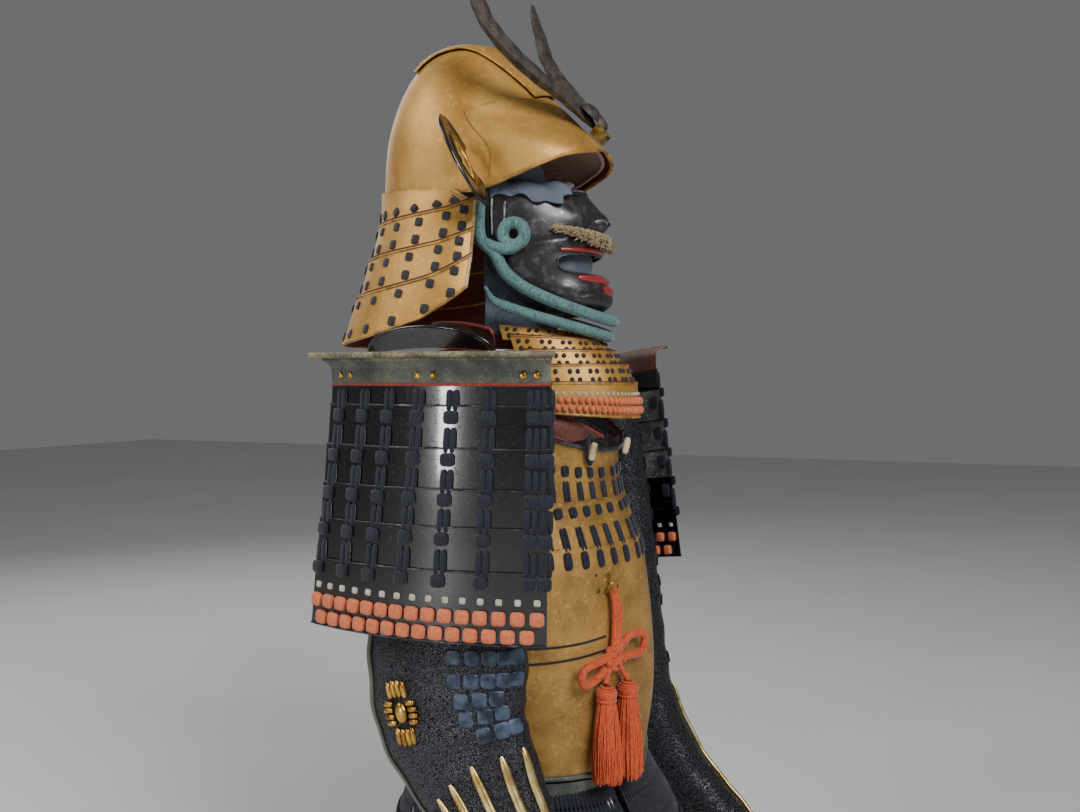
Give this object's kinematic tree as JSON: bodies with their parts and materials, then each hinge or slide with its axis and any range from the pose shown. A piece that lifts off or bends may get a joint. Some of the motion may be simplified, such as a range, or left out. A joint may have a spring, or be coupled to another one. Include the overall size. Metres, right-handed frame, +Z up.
{
  "type": "samurai armour in its worn form",
  "caption": "Japanese lacquered armour in its worn form: horned helmet, face mask, throat guard, laced cuirass, shoulder guards, mail sleeves and tassets.",
  "frame": {"origin": "between the shoulder straps, at the height where they rest on the wearer's shoulders", "axes": "+Z up, the wearer faces -Y, the wearer's left is +X"},
  "size_m": [0.5792, 0.5598, 1.2924],
  "materials": {
    "gold_lacquer": "gold lacquer over iron, satin, rubbed at the edges",
    "worn_gold": "gold lacquer over iron, worn and speckled",
    "black_lacquer": "black lacquer, glossy",
    "printed_leather": "blue-grey printed leather with a beige pebbled lip",
    "brass": "gilt copper, satin",
    "crest_wood": "brown lacquered wood, matt",
    "pale_lining": "rough beige hemp lining",
    "slate_cloth": "slate-blue cotton",
    "dark_iron": "black lacquered iron, glossy, with red lips",
    "hair": "beige-brown animal hair",
    "teal_cord": "thick teal silk cord",
    "brown_leather": "red-brown pebbled leather",
    "orange_silk": "orange silk cord and threads",
    "silk_beads": "salmon silk cross-knots on gold",
    "navy_lacing": "dark navy silk lacing over black lacquered lames",
    "mail_cloth": "black mail and small plates sewn on cloth"
  },
  "bodies": {
    "armour": {"helmet_bowl": "gold_lacquer", "brow_plate": "gold_lacquer", "top_plate": "gold_lacquer", "neck_guard_1": "gold_lacquer", "neck_guard_2": "gold_lacquer", "neck_guard_3": "gold_lacquer", "neck_guard_4": "gold_lacquer", "turn_back_right": "black_lacquer", "turn_back_left": "black_lacquer", "crest_holder": "brass", "helmet_lining": "pale_lining", "head_cloth": "slate_cloth", "mask": "dark_iron", "moustache": "hair", "chin_cord_upper": "teal_cord", "chin_cord_lower": "teal_cord", "throat_1": "gold_lacquer", "throat_2": "gold_lacquer", "throat_3": "gold_lacquer", "throat_4": "gold_lacquer", "throat_5": "silk_beads", "breast_band": "worn_gold", "chest_lame": "worn_gold", "belly_plate": "worn_gold", "back_upper": "worn_gold", "back_plate": "worn_gold", "collar": "brown_leather", "strap_right": "brown_leather", "wing_right": "black_lacquer", "strap_left": "brown_leather", "wing_left": "black_lacquer", "breast_ring": "brass", "tassel_cord": "orange_silk", "tassel_right": "orange_silk", "tassel_left": "orange_silk", "tasset_1": "navy_lacing", "tasset_2": "navy_lacing", "tasset_3": "navy_lacing", "tasset_4": "navy_lacing", "tasset_5": "navy_lacing", "tasset_6": "navy_lacing", "tasset_7": "navy_lacing", "guard_cap_right": "printed_leather", "guard_right_1": "black_lacquer", "guard_right_2": "black_lacquer", "guard_right_3": "black_lacquer", "guard_right_4": "black_lacquer", "guard_right_5": "black_lacquer", "guard_right_6": "black_lacquer", "sleeve_right": "mail_cloth", "guard_cap_left": "printed_leather", "guard_left_1": "black_lacquer", "guard_left_2": "black_lacquer", "guard_left_3": "black_lacquer", "guard_left_4": "black_lacquer", "guard_left_5": "black_lacquer", "guard_left_6": "black_lacquer", "sleeve_left": "mail_cloth"},
    "crest": {"crest": "crest_wood"}
  },
  "joints": [
    {"name": "crest_slide", "type": "slide", "parent": "armour", "child": "crest", "axis": [-0.0923, 0.7011, 0.7071], "range_m": [0, 0.025]}
  ]
}
